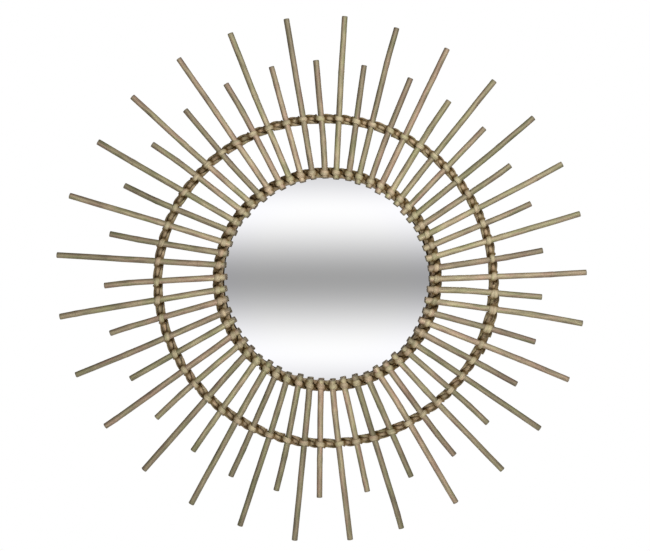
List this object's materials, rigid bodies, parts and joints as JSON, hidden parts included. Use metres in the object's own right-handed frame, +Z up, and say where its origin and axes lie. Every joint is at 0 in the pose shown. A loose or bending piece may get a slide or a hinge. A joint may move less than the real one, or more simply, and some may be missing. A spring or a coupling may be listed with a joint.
{
  "type": "wall mirror",
  "caption": "Round wall mirror in a sunburst of long and short cane rays bound to woven cane rings, with a keyhole in its backing board for a wall screw.",
  "frame": {"origin": "middle of the backing board's back face, which lies on the wall", "axes": "+Y goes into the wall, so the mirror faces -Y; +Z is up; +X is to the right as seen from the front"},
  "size_m": [0.762, 0.0292, 0.754],
  "materials": {
    "ray_cane": "peeled rattan cane, dull sheen, darker at its joints and cut ends",
    "ring_cane": "thin rattan strands twined round a hoop of round cane, darker in the gaps",
    "silvered_glass": "clear glass, silvered behind, with a ground rim",
    "board": "plain fibre board, sawn edge"
  },
  "bodies": {
    "root": {"backing_board": "board", "mirror_glass": "silvered_glass", "inner_woven_ring_with_ray_short_15": "ring_cane", "outer_woven_ring_with_ray_long_15": "ring_cane", "ray_long_01": "ray_cane", "ray_long_02": "ray_cane", "ray_long_03": "ray_cane", "ray_long_04": "ray_cane", "ray_long_05": "ray_cane", "ray_long_06": "ray_cane", "ray_long_07": "ray_cane", "ray_long_08": "ray_cane", "ray_long_09": "ray_cane", "ray_long_10": "ray_cane", "ray_long_11": "ray_cane", "ray_long_12": "ray_cane", "ray_long_13": "ray_cane", "ray_long_14": "ray_cane", "ray_long_16": "ray_cane", "ray_long_17": "ray_cane", "ray_long_18": "ray_cane", "ray_long_19": "ray_cane", "ray_long_20": "ray_cane", "ray_long_21": "ray_cane", "ray_long_22": "ray_cane", "ray_long_23": "ray_cane", "ray_long_24": "ray_cane", "ray_long_25": "ray_cane", "ray_long_26": "ray_cane", "ray_long_27": "ray_cane", "ray_long_28": "ray_cane", "ray_long_29": "ray_cane", "ray_short_01": "ray_cane", "ray_short_02": "ray_cane", "ray_short_03": "ray_cane", "ray_short_04": "ray_cane", "ray_short_05": "ray_cane", "ray_short_06": "ray_cane", "ray_short_07": "ray_cane", "ray_short_08": "ray_cane", "ray_short_09": "ray_cane", "ray_short_10": "ray_cane", "ray_short_11": "ray_cane", "ray_short_12": "ray_cane", "ray_short_13": "ray_cane", "ray_short_14": "ray_cane", "ray_short_16": "ray_cane", "ray_short_17": "ray_cane", "ray_short_18": "ray_cane", "ray_short_19": "ray_cane", "ray_short_20": "ray_cane", "ray_short_21": "ray_cane", "ray_short_22": "ray_cane", "ray_short_23": "ray_cane", "ray_short_24": "ray_cane", "ray_short_25": "ray_cane", "ray_short_26": "ray_cane", "ray_short_27": "ray_cane", "ray_short_28": "ray_cane", "ray_short_29": "ray_cane"}
  },
  "joints": []
}
